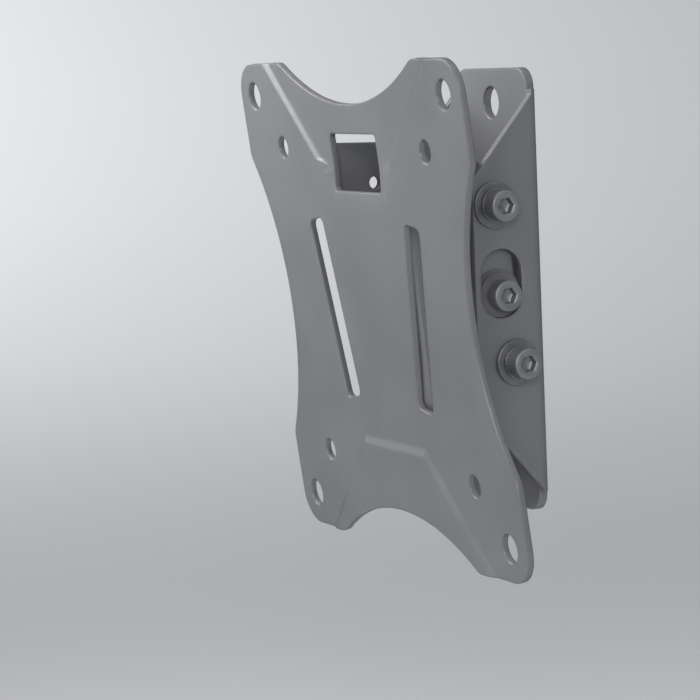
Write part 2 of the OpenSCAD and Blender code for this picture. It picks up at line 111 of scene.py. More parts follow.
class Graph:
    """A shader node tree that is being wired."""

    normal_samples: ClassVar[int] = 6

    def __init__(self, tree: bpy.types.NodeTree) -> None:
        """Starts from an empty tree."""
        self.tree = tree
        tree.nodes.clear()

    def add(self, kind: str, **settings: object) -> bpy.types.Node:
        """Adds a node.

        Args:
            kind: the node's Blender type.
            settings: its properties, by name.

        Returns:
            The new node.
        """
        node = self.tree.nodes.new(kind)
        for name, value in settings.items():
            setattr(node, name, value)
        return node

    def feed(self, socket: Socket, value: Feed) -> None:
        """Links an output to a socket, or sets the socket to a plain number or colour.

        Args:
            socket: the input that is fed.
            value: an output, a number or a colour.
        """
        if isinstance(value, Socket):
            self.tree.links.new(value, socket)
        elif isinstance(value, tuple) and socket.type == "RGBA":
            socket.default_value = (*value, 1.0)
        else:
            socket.default_value = value

    def maths(self, operation: str, *values: Feed, clamp: bool = False) -> Socket:
        """Places a Math node.

        Args:
            operation: Blender's name of the operation.
            values: its inputs, in order.
            clamp: whether the result is kept between 0 and 1.

        Returns:
            The result.
        """
        node = self.add("ShaderNodeMath", operation=operation, use_clamp=clamp)
        for socket, value in zip(node.inputs, values):
            self.feed(socket, value)
        return node.outputs[0]

    def product(self, first: Feed, second: Feed, third: Feed) -> Socket:
        """Multiplies three shares, and keeps the result between 0 and 1."""
        return self.maths("MULTIPLY", self.maths("MULTIPLY", first, second), third, clamp=True)

    def per_metre(self, size: Feed) -> Socket:
        """How many features of a size fit in a metre."""
        return self.maths("DIVIDE", 1.0, size)

    def spread(
        self, value: Feed, low: float, high: float, to_low: float = 0.0, to_high: float = 1.0
    ) -> Socket:
        """Maps a value smoothly from one range to another, and holds it outside.

        Args:
            value: what is mapped.
            low: start of its range.
            high: end of its range.
            to_low: the result at the start.
            to_high: the result at the end.

        Returns:
            The result.
        """
        node = self.add("ShaderNodeMapRange", interpolation_type="SMOOTHSTEP")
        names = ("Value", "From Min", "From Max", "To Min", "To Max")
        for name, part in zip(names, (value, low, high, to_low, to_high)):
            self.feed(node.inputs[name], part)
        return node.outputs["Result"]

    def blend(self, share: Feed, under: Feed, over: Feed) -> Socket:
        """Mixes two colours.

        Args:
            share: 0 for the colour under, 1 for the one over.
            under: the first colour.
            over: the second colour.

        Returns:
            The mixed colour.
        """
        node = self.add("ShaderNodeMix", data_type="RGBA")
        self.feed(node.inputs["Factor"], share)
        colours = [socket for socket in node.inputs if socket.type == "RGBA"]
        for socket, colour in zip(colours, (under, over)):
            self.feed(socket, colour)
        return next(out for out in node.outputs if out.type == "RGBA")

    def noise(
        self, place: Feed, scale: Feed, detail: float = 2.0, roughness: float = 0.5
    ) -> Socket:
        """Places a Noise texture.

        Args:
            place: where it is read.
            scale: how many features fit in a metre.
            detail: number of finer layers.
            roughness: strength of the finer layers.

        Returns:
            The noise, about 0.5 in the middle.
        """
        node = self.add("ShaderNodeTexNoise")
        names = ("Vector", "Scale", "Detail", "Roughness")
        for name, value in zip(names, (place, scale, detail, roughness)):
            self.feed(node.inputs[name], value)
        return node.outputs["Fac"]

    def place(self) -> Socket:
        """The object's own coordinates, which ride with the piece."""
        return self.add("ShaderNodeTexCoord").outputs["Object"]

    def true_normal(self) -> Socket:
        """The surface's own normal."""
        return self.add("ShaderNodeNewGeometry").outputs["Normal"]

    def rounded_normal(self, reach: Feed) -> Socket:
        """The normal as if edges were rounded.

        Args:
            reach: how far from an edge the rounding goes, in metres.

        Returns:
            The rounded normal.
        """
        node = self.add("ShaderNodeBevel", samples=self.normal_samples)
        self.feed(node.inputs["Radius"], reach)
        return node.outputs["Normal"]

    def relief(
        self, height: Feed, depth: float, normal: Feed | None = None
    ) -> Socket:
        """Places a Bump node.

        Args:
            height: the relief, from 0 to 1.
            depth: how deep it is, in millimetres.
            normal: the normal that it starts from, where that isn't the surface's own.

        Returns:
            The normal with the relief.
        """
        node = self.add("ShaderNodeBump")
        self.feed(node.inputs["Strength"], 1.0)
        self.feed(node.inputs["Distance"], depth * MM)
        self.feed(node.inputs["Height"], height)
        if normal is not None:
            self.feed(node.inputs["Normal"], normal)
        return node.outputs["Normal"]


class Effect:
    """A shader effect that several finishes share, as a node group with named sockets."""

    name: ClassVar[str]
    takes: ClassVar[dict[str, float]]
    gives: ClassVar[tuple[str, ...]] = ("Mask",)

    @classmethod
    def group(cls) -> bpy.types.NodeTree:
        """Finds the effect's node group, or builds it the first time.

        Returns:
            The node group.
        """
        made = bpy.data.node_groups.get(cls.name)
        if made:
            return made
        tree = bpy.data.node_groups.new(cls.name, "ShaderNodeTree")
        number = "NodeSocketFloat"
        for word, value in cls.takes.items():
            socket = tree.interface.new_socket(name=word, in_out="INPUT", socket_type=number)
            socket.default_value = value
        for word in cls.gives:
            tree.interface.new_socket(name=word, in_out="OUTPUT", socket_type=number)
        graph = Graph(tree)
        inside = graph.add("NodeGroupInput").outputs
        outside = graph.add("NodeGroupOutput").inputs
        for word, value in cls.wire(graph, inside).items():
            graph.feed(outside[word], value)
        return tree

    @classmethod
    def wire(cls, graph: Graph, inside: bpy.types.NodeOutputs) -> dict[str, Feed]:
        """Wires the effect.

        Args:
            graph: the group's tree.
            inside: the group's inputs, as outputs of its input node.

        Returns:
            What feeds each output, by name.
        """
        raise NotImplementedError

    @classmethod
    def on(cls, graph: Graph, **values: float) -> bpy.types.NodeOutputs:
        """Places the effect in a material with its own values.

        Args:
            graph: the material's tree.
            values: inputs by name, with an underscore for each space.

        Returns:
            The effect's outputs.
        """
        node = graph.add("ShaderNodeGroup", node_tree=cls.group())
        for word, value in values.items():
            graph.feed(node.inputs[word.replace("_", " ")], value)
        return node.outputs


class EdgeWear(Effect):
    """Outer edges and corners, broken up, where a finish is thin or polished by handling; on
    plated fasteners the pale edges are also a painted rim highlight.
    """

    name = "edge_wear"
    takes = {"Reach": 0.0006, "Patch Size": 0.004, "Amount": 0.5}
    edges: ClassVar[Pair] = (0.02, 0.25)
    patches: ClassVar[Pair] = (0.35, 0.7)

    @classmethod
    def wire(cls, graph: Graph, inside: bpy.types.NodeOutputs) -> dict[str, Feed]:
        """Compares the true normal with one rounded over Reach, and breaks the result up.

        Args:
            graph: the group's tree.
            inside: the group's inputs.

        Returns:
            What feeds each output.
        """
        dot = graph.add("ShaderNodeVectorMath", operation="DOT_PRODUCT")
        graph.feed(dot.inputs[0], graph.rounded_normal(inside["Reach"]))
        graph.feed(dot.inputs[1], graph.true_normal())
        edge = graph.spread(graph.maths("SUBTRACT", 1.0, dot.outputs["Value"]), *cls.edges)
        patches = graph.noise(graph.place(), graph.per_metre(inside["Patch Size"]), 4.0, 0.6)
        broken = graph.spread(patches, *cls.patches)
        return {"Mask": graph.product(edge, broken, inside["Amount"])}


class Skin(Effect):
    """The fine relief and mottling of a sprayed, plated or moulded skin."""

    name = "skin"
    takes = {"Peel Size": 0.0012, "Fleck Size": 0.0003, "Cloud Size": 0.03}
    gives = ("Height", "Flecks", "Clouds")
    fleck_height: ClassVar[float] = 0.25
    flecks: ClassVar[Pair] = (0.3, 0.75)
    clouds: ClassVar[Pair] = (0.3, 0.7)

    @classmethod
    def wire(cls, graph: Graph, inside: bpy.types.NodeOutputs) -> dict[str, Feed]:
        """Layers three noises of different sizes.

        Args:
            graph: the group's tree.
            inside: the group's inputs.

        Returns:
            What feeds each output.
        """
        place = graph.place()
        peel = graph.noise(place, graph.per_metre(inside["Peel Size"]), 1.5, 0.4)
        fleck = graph.noise(place, graph.per_metre(inside["Fleck Size"]), 1.0, 0.5)
        cloud = graph.noise(place, graph.per_metre(inside["Cloud Size"]), 3.0, 0.55)
        return {
            "Height": graph.maths("MULTIPLY_ADD", fleck, cls.fleck_height, peel),
            "Flecks": graph.spread(fleck, *cls.flecks),
            "Clouds": graph.spread(cloud, *cls.clouds),
        }


class Rubs(Effect):
    """Fine scratches that run one way, in patches, as from a sheet that slid in handling."""

    name = "rubs"
    takes = {"Length": 0.006, "Width": 0.0002, "Amount": 0.5}
    patches_per_metre: ClassVar[float] = 60.0
    peaks: ClassVar[Pair] = (0.6, 0.72)
    patches: ClassVar[Pair] = (0.45, 0.65)

    @classmethod
    def wire(cls, graph: Graph, inside: bpy.types.NodeOutputs) -> dict[str, Feed]:
        """Stretches a noise along Z and keeps its thin peaks, in patches.

        Args:
            graph: the group's tree.
            inside: the group's inputs.

        Returns:
            What feeds each output.
        """
        place = graph.place()
        stretch = graph.add("ShaderNodeCombineXYZ")
        across, along = graph.per_metre(inside["Width"]), graph.per_metre(inside["Length"])
        for axis, rate in zip("XYZ", (across, across, along)):
            graph.feed(stretch.inputs[axis], rate)
        scaled = graph.add("ShaderNodeVectorMath", operation="MULTIPLY")
        graph.feed(scaled.inputs[0], place)
        graph.feed(scaled.inputs[1], stretch.outputs["Vector"])
        lines = graph.noise(scaled.outputs["Vector"], 1.0, 2.0, 0.6)
        line = graph.spread(lines, *cls.peaks)
        patch = graph.spread(graph.noise(place, cls.patches_per_metre), *cls.patches)
        return {"Mask": graph.product(line, patch, inside["Amount"])}


class Dust(Effect):
    """A thin film that settles on what faces up."""

    name = "dust"
    takes = {"Speck Size": 0.0006, "Amount": 0.3}
    upward: ClassVar[Pair] = (0.3, 0.95)
    specks: ClassVar[Pair] = (0.35, 0.75)
    film: ClassVar[Pair] = (0.35, 1.0)

    @classmethod
    def wire(cls, graph: Graph, inside: bpy.types.NodeOutputs) -> dict[str, Feed]:
        """Takes the upward part of the normal and breaks it into specks over a soft film.

        Args:
            graph: the group's tree.
            inside: the group's inputs.

        Returns:
            What feeds each output.
        """
        up = graph.add("ShaderNodeSeparateXYZ")
        graph.feed(up.inputs[0], graph.true_normal())
        faces_up = graph.spread(up.outputs["Z"], *cls.upward)
        specks = graph.noise(graph.place(), graph.per_metre(inside["Speck Size"]), 3.0, 0.7)
        film = graph.spread(specks, *cls.specks, *cls.film)
        return {"Mask": graph.product(faces_up, film, inside["Amount"])}


def shader(name: str) -> tuple[bpy.types.Material, Graph, bpy.types.NodeInputs]:
    """Starts a material.

    Args:
        name: the material's name.

    Returns:
        The material, its graph and its Principled shader's inputs. The shader feeds the output.
    """
    material = bpy.data.materials.new(name)
    material.use_nodes = True
    graph = Graph(material.node_tree)
    surface = graph.add("ShaderNodeBsdfPrincipled")
    graph.feed(graph.add("ShaderNodeOutputMaterial").inputs["Surface"], surface.outputs["BSDF"])
    return material, graph, surface.inputs


def shaded(colour: Colour, factor: float) -> Colour:
    """A colour made darker or lighter by a factor."""
    return tuple(part * factor for part in colour)


@dataclass(frozen=True)
class Grain:
    """A finish's relief, paler edges and dust. The edges are worn, and on plated metal also a
    painted highlight. Their amount and dust are shares, the rest are sizes.
    """

    peel: float
    fleck: float
    cloud: float
    wear_reach: float
    wear_patch: float
    wear: float
    speck: float
    dust: float

    def layers(self, graph: Graph) -> tuple[bpy.types.NodeOutputs, Feed, Feed]:
        """Places the shared effects in a material.

        Args:
            graph: the material's tree.

        Returns:
            The skin's outputs, the mask of worn edges, which on plated metal is also a painted
            highlight, and the mask of dust.
        """
        peel, fleck, cloud = (size * MM for size in (self.peel, self.fleck, self.cloud))
        skin = Skin.on(graph, Peel_Size=peel, Fleck_Size=fleck, Cloud_Size=cloud)
        reach, patch = self.wear_reach * MM, self.wear_patch * MM
        wear = EdgeWear.on(graph, Reach=reach, Patch_Size=patch, Amount=self.wear)
        dust = Dust.on(graph, Speck_Size=self.speck * MM, Amount=self.dust)
        return skin, wear["Mask"], dust["Mask"]


@dataclass(frozen=True)
class PowderCoat:
    """Satin powder coat: an even grey with orange peel and paler edges."""

    name: str = "powder_coat"
    colour: Colour = (0.26, 0.262, 0.27)
    edge_colour: Colour = (0.34, 0.343, 0.355)
    dust_colour: Colour = (0.5, 0.49, 0.47)
    darker: float = 0.94
    lighter: float = 1.05
    flecks: float = 0.12
    gloss_rough: float = 0.34
    matt_rough: float = 0.41
    dust_rough: float = 0.35
    metal: float = 0.55
    specular: float = 0.25
    grazing_tint: Colour = (0.2, 0.2, 0.2)
    depth: float = 0.04
    fold_reach: float = 0.7
    rub_length: float = 12.0
    rub_width: float = 0.22
    rubs: float = 0.22
    grain: Grain = Grain(
        peel=1.1, fleck=0.28, cloud=30.0,
        wear_reach=0.6, wear_patch=6.0, wear=0.3,
        speck=0.8, dust=0.3,
    )

    def material(self) -> bpy.types.Material:
        """Builds the painted finish.

        Returns:
            The material.
        """
        material, graph, surface = shader(self.name)
        skin, wear, dust = self.grain.layers(graph)
        length, width = self.rub_length * MM, self.rub_width * MM
        rubs = Rubs.on(graph, Length=length, Width=width, Amount=self.rubs)["Mask"]
        darker, lighter = (shaded(self.colour, part) for part in (self.darker, self.lighter))
        colour = graph.blend(skin["Clouds"], darker, lighter)
        flecks = graph.maths("MULTIPLY", skin["Flecks"], self.flecks)
        for mask, over in (
            (flecks, self.edge_colour),
            (rubs, lighter),
            (wear, self.edge_colour),
            (dust, self.dust_colour),
        ):
            colour = graph.blend(mask, colour, over)
        graph.feed(surface["Base Color"], colour)
        rough = graph.spread(skin["Clouds"], 0.0, 1.0, self.gloss_rough, self.matt_rough)
        dusty = graph.maths("MULTIPLY_ADD", dust, self.dust_rough, rough)
        graph.feed(surface["Roughness"], dusty)
        graph.feed(surface["Metallic"], self.metal)
        graph.feed(surface["Specular IOR Level"], self.specular)
        graph.feed(surface["Specular Tint"], self.grazing_tint)
        folds = graph.rounded_normal(self.fold_reach * MM)
        graph.feed(surface["Normal"], graph.relief(skin["Height"], self.depth, folds))
        return material


@dataclass(frozen=True)
class Plated:
    """Plated steel of a fastener: metal with a fine mottling, and pale edges that are partly
    rubbed wear and partly a painted rim highlight.
    """

    name: str
    colour: Colour
    edge_colour: Colour
    low_rough: float
    high_rough: float
    metal: float
    dust_colour: Colour = (0.42, 0.41, 0.39)
    darker: float = 0.8
    depth: float = 0.012
    grain: Grain = Grain(
        peel=0.5, fleck=0.12, cloud=4.0,
        wear_reach=0.25, wear_patch=1.5, wear=0.8,
        speck=0.5, dust=0.18,
    )

    def material(self) -> bpy.types.Material:
        """Builds the metal finish.

        Returns:
            The material.
        """
        material, graph, surface = shader(self.name)
        skin, wear, dust = self.grain.layers(graph)
        colour = graph.blend(skin["Clouds"], shaded(self.colour, self.darker), self.colour)
        # Pale edge colour over the edge mask: rubbed plating, and a painted highlight along the
        # rims.
        colour = graph.blend(wear, colour, self.edge_colour)
        graph.feed(surface["Base Color"], graph.blend(dust, colour, self.dust_colour))
        clean = graph.maths("SUBTRACT", 1.0, dust)
        graph.feed(surface["Metallic"], graph.maths("MULTIPLY", clean, self.metal))
        rough = graph.spread(skin["Clouds"], 0.0, 1.0, self.low_rough, self.high_rough)
        graph.feed(surface["Roughness"], rough)
        graph.feed(surface["Normal"], graph.relief(skin["Height"], self.depth))
        return material


@dataclass(frozen=True)
class MouldedNylon:
    """Dark moulded nylon with a faint mottling and a fine spark texture."""

    name: str = "moulded_nylon"
    colour: Colour = (0.13, 0.131, 0.135)
    edge_colour: Colour = (0.24, 0.24, 0.245)
    dust_colour: Colour = (0.4, 0.39, 0.37)
    lighter: float = 1.3
    low_rough: float = 0.42
    high_rough: float = 0.58
    depth: float = 0.02
    grain: Grain = Grain(
        peel=0.6, fleck=0.15, cloud=6.0,
        wear_reach=0.3, wear_patch=2.0, wear=0.5,
        speck=0.5, dust=0.3,
    )

    def material(self) -> bpy.types.Material:
        """Builds the plastic finish.

        Returns:
            The material.
        """
        material, graph, surface = shader(self.name)
        skin, wear, dust = self.grain.layers(graph)
        colour = graph.blend(skin["Clouds"], self.colour, shaded(self.colour, self.lighter))
        colour = graph.blend(wear, colour, self.edge_colour)
        graph.feed(surface["Base Color"], graph.blend(dust, colour, self.dust_colour))
        rough = graph.spread(skin["Flecks"], 0.0, 1.0, self.low_rough, self.high_rough)
        graph.feed(surface["Roughness"], rough)
        graph.feed(surface["Normal"], graph.relief(skin["Height"], self.depth))
        return material


@dataclass(frozen=True)
class PaleGround:
    """Matt pale paint of the studio's floor and backdrop."""

    name: str = "pale_ground"
    colour: Colour = (0.66, 0.665, 0.68)
    darker: float = 0.985
    clouds_per_metre: float = 1.2
    clouds: Pair = (0.3, 0.7)
    rough: float = 0.9
    specular: float = 0.2

    def material(self) -> bpy.types.Material:
        """Builds the ground's finish.

        Returns:
            The material.
        """
        material, graph, surface = shader(self.name)
        tone = graph.spread(graph.noise(graph.place(), self.clouds_per_metre), *self.clouds)
        colour = graph.blend(tone, shaded(self.colour, self.darker), self.colour)
        graph.feed(surface["Base Color"], colour)
        graph.feed(surface["Roughness"], self.rough)
        graph.feed(surface["Specular IOR Level"], self.specular)
        return material


@dataclass(frozen=True)
class BlackCard:
    """Matt black of the card that stands beside the mount."""

    name: str = "black_card"
    colour: Colour = (0.02, 0.02, 0.02)
    rough: float = 0.9

    def material(self) -> bpy.types.Material:
        """Builds the card's finish.

        Returns:
            The material.
        """
        material, graph, surface = shader(self.name)
        graph.feed(surface["Base Color"], self.colour)
        graph.feed(surface["Roughness"], self.rough)
        return material


@dataclass
class Finishes:
    """One material of each finish, by the record's slots."""

    paint: PowderCoat = PowderCoat()
    # Zinc's edge colour is far paler than its body: worn plating, and a painted rim highlight on
    # the washers' and nuts' edges.
    zinc: Plated = Plated(
        "zinc_plate", (0.27, 0.273, 0.28), (0.75, 0.755, 0.765), 0.32, 0.48, 0.8
    )
    bolt: Plated = Plated(
        "dark_zinc", (0.3, 0.303, 0.31), (0.56, 0.565, 0.575), 0.36, 0.52, 0.7
    )
    nylon: MouldedNylon = MouldedNylon()
    by_slot: dict[Slot, bpy.types.Material] = field(init=False)

    def __post_init__(self) -> None:
        """Builds the materials."""
        made = (self.paint, self.zinc, self.bolt, self.nylon)
        self.by_slot = {slot: finish.material() for slot, finish in zip(Slot, made)}

    def dress(self, piece: Piece, slot: Slot) -> Piece:
        """Gives a piece the finish of a slot, in place of what it had.

        Args:
            piece: the piece.
            slot: its material slot.

        Returns:
            The piece.
        """
        piece.data.materials.clear()
        piece.data.materials.append(self.by_slot[slot])
        return piece


@dataclass(frozen=True)
class Tilt:
    """Where the tilting side stands at rest: the plate's frame, placed in the row's frame."""

    lean: float = 7.0
    pivot_out: float = 11.4
    pivot_back: float = 23.2

    def matrix(self) -> Matrix:
        """The turn and shift of the tilting side.

        Returns:
            The matrix from the plate's frame to the row's frame, in metres.
        """
        turn = Matrix.Rotation(math.radians(self.lean), 4, "X")
        to_pivot = Matrix.Translation((0, -self.pivot_out * MM, 0))
        return to_pivot @ turn @ Matrix.Translation((0, -self.pivot_back * MM, 0))

    def stack(self, side: Side, y: float, z: float) -> Matrix:
        """The frame of a bolt stack: its X runs outwards from the mount's middle.

        Args:
            side: which side the stack stands on.
            y: its axis in the plate's frame.
            z: its axis in the plate's frame.

        Returns:
            The matrix from the stack's frame to the row's frame.
        """
        about = Matrix.Rotation(0.0 if side is Side.RIGHT else math.pi, 4, "Z")
        return self.matrix() @ Matrix.Translation((0, y * MM, z * MM)) @ about


def make_piece(
    name: str, points: Sequence[Vector], faces: Sequence[Sequence[int]], place: Matrix
) -> Piece:
    """Makes a smooth-shaded object from points in millimetres.

    Args:
        name: the piece's name.
        points: its vertices, in its own frame.
        faces: its faces, as rows of vertex numbers.
        place: from its own frame to the row's frame, in metres.

    Returns:
        The object, with its place in its mesh.
    """
    mesh = bpy.data.meshes.new(name)
    mesh.from_pydata([place @ (point * MM) for point in points], [], faces)
    mesh.validate()
    mesh.shade_smooth()
    piece = bpy.data.objects.new(name, mesh)
    bpy.context.scene.collection.objects.link(piece)
    return piece


def strip(near: int, far: int, around: int) -> list[list[int]]:
    """The faces between two closed rows of points, given the rows' first point numbers."""
    ends = [(i, (i + 1) % around) for i in range(around)]
    return [[near + i, near + j, far + j, far + i] for i, j in ends]


def fan(middle: int, first: int, around: int, flip: bool) -> list[list[int]]:
    """The faces that close a row of points over a middle point."""
    edges = [[first + i, first + (i + 1) % around] for i in range(around)]
    return [[middle, *(edge[::-1] if flip else edge)] for edge in edges]


def turned(rows: Rows, around: int, closed: bool) -> tuple[list[Vector], list[list[int]]]:
    """A turned form along X, whose radius may also change round it.

    Args:
        rows: its outline as (x, radius at an angle).
        around: number of points round it.
        closed: whether the last row joins the first, as on a ring. Otherwise it is capped.

    Returns:
        Its points and faces.
    """
    angles = [2 * math.pi * i / around for i in range(around)]
    points = [Vector((x, r(a) * math.cos(a), r(a) * math.sin(a))) for x, r in rows for a in angles]
    last = len(rows) - 1
    faces = []
    for row in range(last + closed):
        faces += strip(row * around, (row + 1) % len(rows) * around, around)
    if not closed:
        for row in (0, last):
            faces += fan(len(points), row * around, around, flip=row == 0)
            points.append(Vector((rows[row][0], 0, 0)))
    return points, faces


def circle(radius: float) -> Radius:
    """The same radius at every angle."""
    return lambda angle: radius


def hexagon(flat: float, limit: float = math.inf) -> Radius:
    """Radius of a hexagon, cut to a circle.

    Args:
        flat: distance from its middle to a flat.
        limit: radius of the circle.

    Returns:
        The radius as a function of the angle.
    """
    sixth = math.pi / 3
    return lambda angle: min(flat / math.cos(angle % sixth - sixth / 2), limit)


def knurled(radius: float, depth: float, teeth: int) -> Radius:
    """Radius of a ring of fine straight teeth."""
    return lambda angle: radius - depth * (0.5 + 0.5 * math.cos(teeth * angle))


def threaded(radius: float, depth: float, pitch: float, x: float) -> Radius:
    """Radius of a right-hand thread at one place along it.

    Args:
        radius: its outer radius.
        depth: its depth.
        pitch: its pitch.
        x: the place along it.

    Returns:
        The radius as a function of the angle.
    """
    steepness, crest = 1.25, 0.1

    def at(angle: float) -> float:
        """Radius at an angle, on a rounded triangular thread form."""
        turns = (x / pitch - angle / (2 * math.pi)) % 1
        return radius - depth * (1 - min(1.0, max(0.0, steepness * abs(2 * turns - 1) - crest)))

    return at


def soften(piece: Piece, width: float) -> None:
    """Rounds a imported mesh's edges above FOLD_ANGLE, with gaps below SEAM_GAP closed first.

    Args:
        piece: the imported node's object.
        width: how far the rounding reaches from an edge.
    """
    weld = piece.modifiers.new("weld", "WELD")
    weld.merge_threshold = SEAM_GAP * MM
    rounding = piece.modifiers.new("rounding", "BEVEL")
    rounding.width = width * MM
    rounding.segments = 2
    rounding.limit_method = "ANGLE"
    rounding.angle_limit = math.radians(FOLD_ANGLE)
    rounding.miter_outer = "MITER_ARC"
    rounding.harden_normals = True


def sharpen(piece: Piece, angle: float) -> None:
    """Keeps edges sharper than an angle, in degrees, as hard edges of the smooth shading."""
    piece.data.set_sharp_from_angle(angle=math.radians(angle))


def dress_node(name: str, edge: float, slot: Slot, finishes: Finishes) -> Piece:
    """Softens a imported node's edges and gives it its finish.

    Args:
        name: the node's name.
        edge: width of its softened edges.
        slot: its material slot.
        finishes: where its finish comes from.

    Returns:
        The node's object.
    """
    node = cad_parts[name]
    soften(node, edge)
    return finishes.dress(node, slot)


def mount_piece(
    piece: Piece, slot: Slot, finishes: Finishes, node: str = ""
) -> Piece:
    """Dresses a new piece and lets it ride on the tilting side.

    Args:
        piece: the new piece.
        slot: its material slot.
        finishes: where its finish comes from.
        node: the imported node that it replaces, if any.

    Returns:
        The piece.
    """
    finishes.dress(piece, slot)
    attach(piece, Body.TILTING.value)
    if node:
        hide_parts(node)
    return piece


@dataclass
class WallPlate:
    """The folded plate that is screwed to the wall."""

    edge: float = 0.22

    def build(self, finishes: Finishes) -> Pieces:
        """Softens its cut edges and paints it."""
        yield dress_node("wall_plate", self.edge, Slot.PAINT, finishes)


@dataclass
class PressedPlate:
    """The pressed plate with its two squares of holes, its window and its slots."""

    edge: float = 0.22

    def build(self, finishes: Finishes) -> Pieces:
        """Softens its punched edges and paints it."""
        yield dress_node("vesa_plate", self.edge, Slot.PAINT, finishes)


@dataclass
class TiltBracket:
    """The folded bracket behind the pressed plate, and the weld seams between the two."""

    tilt: Tilt
    edge: float = 0.22
    half_width: float = 17.0
    plate_back: float = 1.5
    seam_radius: float = 1.25
    seam_length: float = 3.4
    seam_heights: tuple[float, ...] = (-26.8, 22.2)
    tuck_in: float = 0.6
    tuck_back: float = 0.75
    ripple: float = 0.9
    ripple_depth: float = 0.09
    ripple_lag: float = 0.35
    tip: float = 0.05
    steps: int = 48
    around: int = 16

    def build(self, finishes: Finishes) -> Pieces:
        """Softens the bracket's edges, paints it and lays its seams.

        Args:
            finishes: where its finishes come from.

        Yields:
            Each piece.
        """
        yield dress_node("tilt_bracket", self.edge, Slot.PAINT, finishes)
        for side in Side:
            for number, height in enumerate(self.seam_heights, 1):
                yield mount_piece(self.seam(side, number, height), Slot.PAINT, finishes)

    def thickness(self, share: float) -> float:
        """The bead's radius, rippled and tapered at both ends.

        Args:
            share: the place along the bead, from 0 to 1.

        Returns:
            The radius.
        """
        taper = math.sqrt(max(0.0, 1 - (2 * share - 1) ** 6)) * (1 - self.tip) + self.tip
        pools = math.sin(math.pi * share * self.seam_length / self.ripple)
        return self.seam_radius * taper * (1 - self.ripple_depth * abs(pools))

    def seam(self, side: Side, number: int, height: float) -> Piece:
        """Builds one weld seam: a bead with the ripples of the weld pool.

        Args:
            side: the side of the bracket it runs along.
            number: its number on that side, from the bottom.
            height: height of its middle, up the plate.

        Returns:
            The bead.
        """
        points = []
        for share in (i / self.steps for i in range(self.steps + 1)):
            radius, along = self.thickness(share), (share - 0.5) * self.seam_length
            for a in (2 * math.pi * j / self.around for j in range(self.around)):
                x, y = radius * math.cos(a), radius * math.sin(a)
                points.append(Vector((x, y, along + self.ripple_lag * math.cos(a))))
        faces = []
        for row in range(self.steps):
            faces += strip(row * self.around, (row + 1) * self.around, self.around)
        start, end = range(self.around), range(self.steps * self.around, len(points))
        faces += [list(start)[::-1], list(end)]
        x, y = side.value * (self.half_width - self.tuck_in), self.plate_back + self.tuck_back
        place = self.tilt.matrix() @ Matrix.Translation((x * MM, y * MM, height * MM))
        return make_piece(f"weld_seam_{side.word}_{number}", points, faces, place)


@dataclass
class Bolt:
    """A knurled socket-head bolt along its stack's X.

    Rim, foot and tip are given as (distance from the head's top, its seat or the bolt's end, inset
    from the radius). The socket's mouth is (distance from the top, radius as a share of the flat).
    """

    node: str
    place: Matrix
    seat: float
    end: float
    shank: float = 2.0
    head: float = 3.6
    head_height: float = 4.0
    rim: Outline = ((0.0, 0.52), (0.05, 0.36), (0.2, 0.13), (0.42, 0.03), (0.62, 0.02))
    foot: Outline = ((0.32, 0.03), (0.08, 0.05), (0.0, 0.16))
    socket_flat: float = 1.75
    socket_depth: float = 2.2
    socket_taper: float = 0.96
    taper_height: float = 0.06
    flat_stop: float = 0.3
    corner_cut: Pair = (0.22, 1.12)
    mouth: Outline = ((0.02, 1.27), (0.0, 1.33))
    drill_depth: float = 0.25
    drill_radius: float = 0.4
    knurl_top: float = 0.78
    knurl_foot: float = 0.5
    knurl_depth: float = 0.13
    teeth: int = 32
    neck: float = 0.12
    neck_step: float = 0.1
    pitch: float = 0.7
    steps_per_pitch: int = 8
    thread_depth: float = 0.34
    threads: float = 8.0
    thread_start: float = 0.1
    thread_stop: float = 0.35
    run_in: int = 12
    tip: Outline = ((0.12, 0.3), (0.0, 0.48))
    around: int = 192
    hard_angle: float = 38.0

    def socket_rows(self) -> Rows:
        """The socket's outline, from its drilled bottom to its countersunk mouth.

        Returns:
            Rows for turned().
        """
        top, flat = self.seat + self.head_height, self.socket_flat
        bottom, (cut_down, cut) = top - self.socket_depth, self.corner_cut
        return [
            (bottom - self.drill_depth, circle(self.drill_radius)),
            (bottom, hexagon(flat * self.socket_taper)),
            (bottom + self.taper_height, hexagon(flat)),
            (top - self.flat_stop, hexagon(flat)),
            (top - cut_down, hexagon(flat, flat * cut)),
            *((top - down, circle(flat * share)) for down, share in self.mouth),
        ]

    def head_rows(self) -> Rows:
        """The head's outline, from the inside of its rim over the knurls to its seat.

        Returns:
            Rows for turned().
        """
        top = self.seat + self.head_height
        knurls = knurled(self.head, self.knurl_depth, self.teeth)
        return [
            *((top - down, circle(self.head - inset)) for down, inset in self.rim),
            (top - self.knurl_top, knurls),
            (self.seat + self.knurl_foot, knurls),
            *((self.seat + up, circle(self.head - inset)) for up, inset in self.foot),
        ]

    def shank_rows(self) -> Rows:
        """The shank's outline, from under the head over the thread to its end.

        Returns:
            Rows for turned().
        """
        rows = [
            (self.seat, circle(self.shank + self.neck_step)),
            (self.seat - self.neck, circle(self.shank)),
            (self.end + self.threads + self.thread_start, circle(self.shank)),
        ]
        step = self.pitch / self.steps_per_pitch
        for i in range(int((self.threads - self.thread_stop) / step) + 1):
            x = self.end + self.threads - i * step
            depth = self.thread_depth * min(1.0, i / self.run_in)
            rows.append((x, threaded(self.shank, depth, self.pitch, x)))
        return rows + [(self.end + up, circle(self.shank - inset)) for up, inset in self.tip]

    def build(self, finishes: Finishes) -> Pieces:
        """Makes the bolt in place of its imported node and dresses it.

        Args:
            finishes: where its finishes come from.

        Yields:
            Each piece.
        """
        rows = self.socket_rows() + self.head_rows() + self.shank_rows()
        points, faces = turned(rows, self.around, closed=False)
        name = f"socket_bolt_{self.node.replace('_bolt', '')}"
        piece = make_piece(name, points, faces, self.place)
        sharpen(piece, self.hard_angle)
        yield mount_piece(piece, Slot.BOLT, finishes, self.node)


